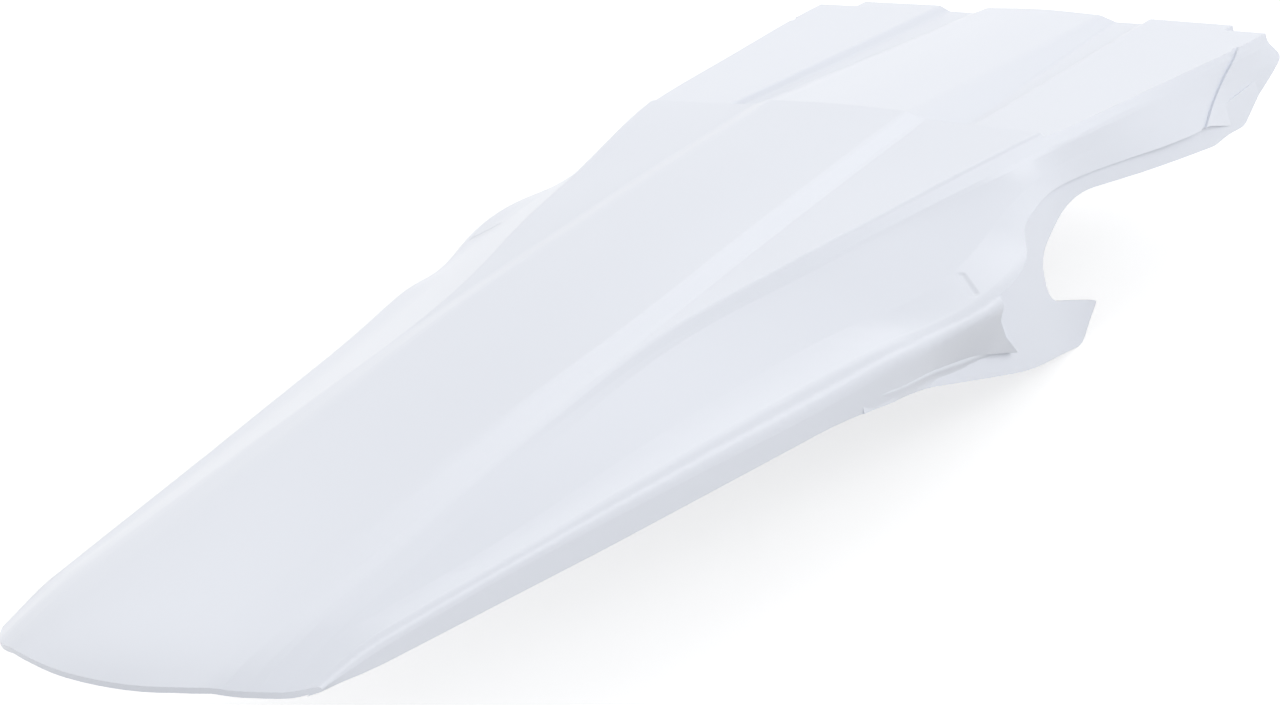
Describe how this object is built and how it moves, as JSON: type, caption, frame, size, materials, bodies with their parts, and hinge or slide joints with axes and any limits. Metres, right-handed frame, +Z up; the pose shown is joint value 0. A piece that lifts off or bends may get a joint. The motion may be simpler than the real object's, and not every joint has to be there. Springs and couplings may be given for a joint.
{
  "type": "motorcycle rear fender",
  "caption": "Long glossy rear fender with a tapering blade, split character lines, flared shoulders, a seat tongue and notched side panels.",
  "frame": {"origin": "middle of the screw boss pattern under the tongue, in the plane of the boss mouths", "axes": "+X forward towards the seat, +Y to the left, +Z up"},
  "size_m": [0.656, 0.2974, 0.1065],
  "materials": {
    "white_plastic": "gloss"
  },
  "bodies": {
    "root": {"rear_fender": "white_plastic"}
  },
  "joints": []
}
